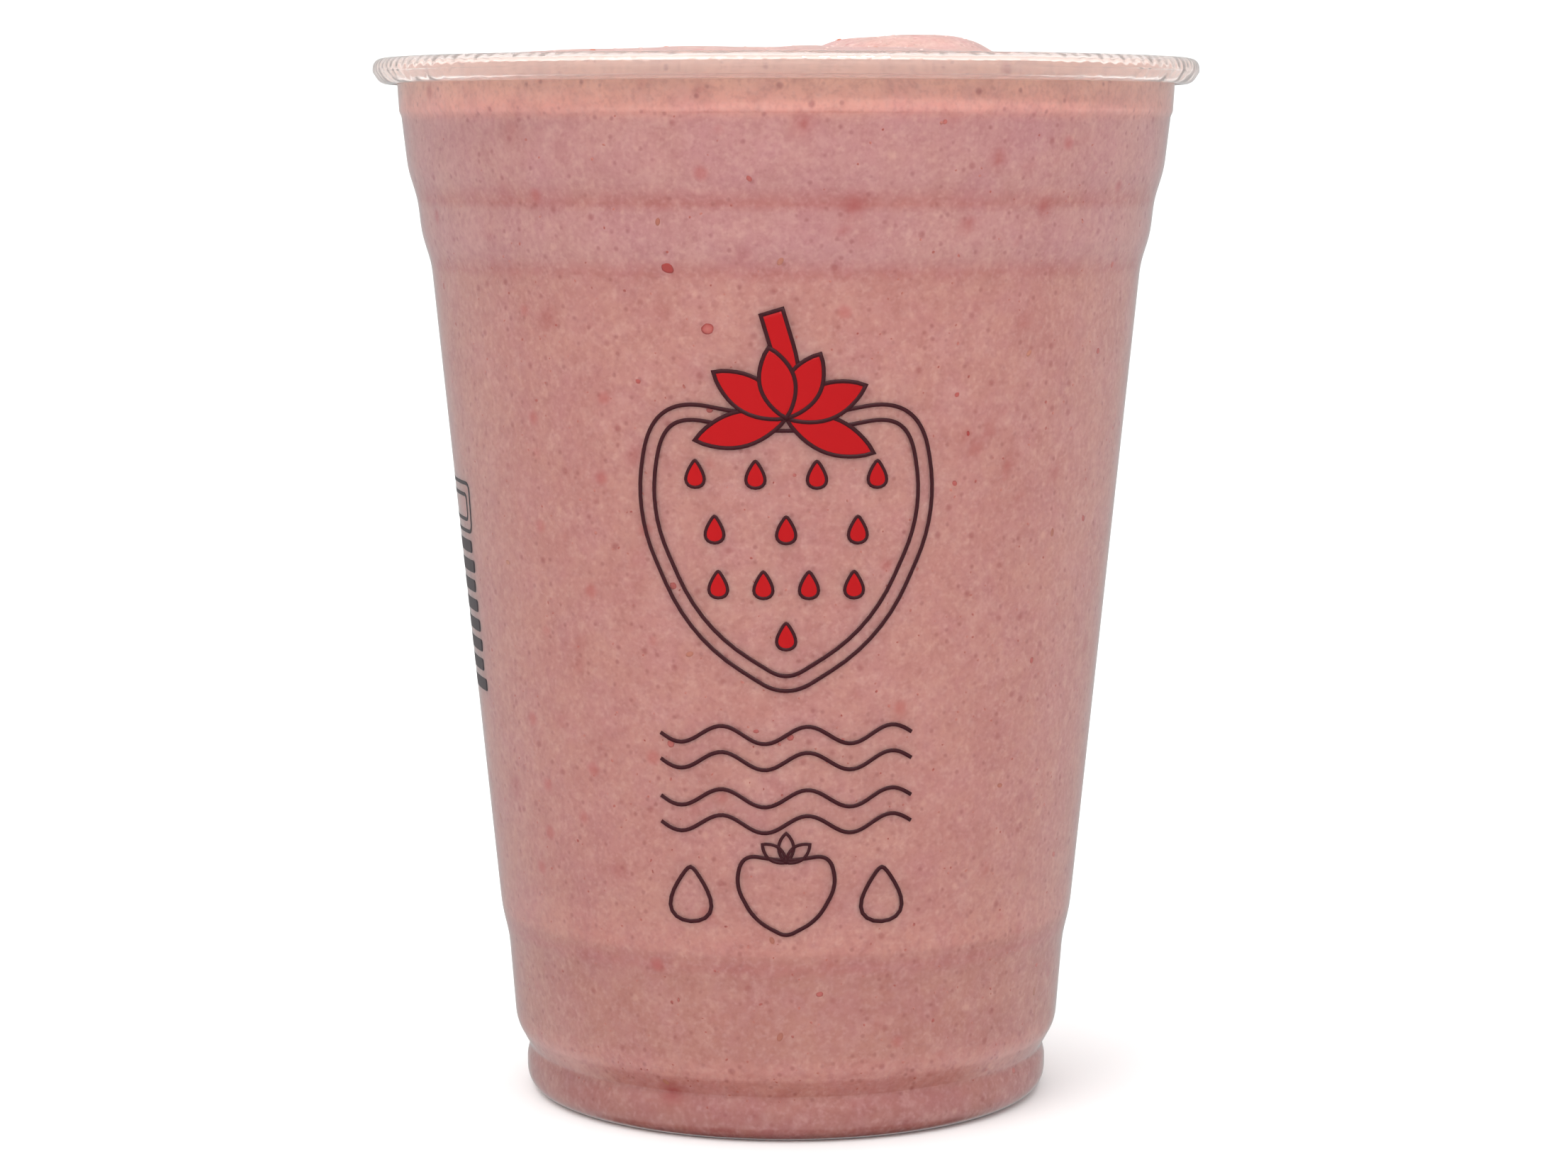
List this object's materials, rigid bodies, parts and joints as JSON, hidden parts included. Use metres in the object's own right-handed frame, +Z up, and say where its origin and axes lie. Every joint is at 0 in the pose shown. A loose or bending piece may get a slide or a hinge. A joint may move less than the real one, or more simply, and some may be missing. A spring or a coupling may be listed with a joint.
{
  "type": "strawberry smoothie in a clear plastic cup",
  "caption": "Thick pink strawberry smoothie filling a tapered clear plastic cup with a rolled rim, stacking steps and a raised base, mounded a little over the brim.",
  "frame": {"origin": "centre of the foot, on the surface that the cup stands on", "axes": "+Z up along the cup's axis, +X to the right of the printed front, -Y towards the viewer of the printed front"},
  "size_m": [0.098, 0.098, 0.1276],
  "materials": {
    "clear_plastic": "clear, glossy, thin formed plastic",
    "smoothie": "thick opaque drink, wet and finely speckled",
    "print": "satin ink printed on the wall"
  },
  "bodies": {
    "root": {"cup": "clear_plastic", "smoothie": "smoothie"}
  },
  "joints": []
}
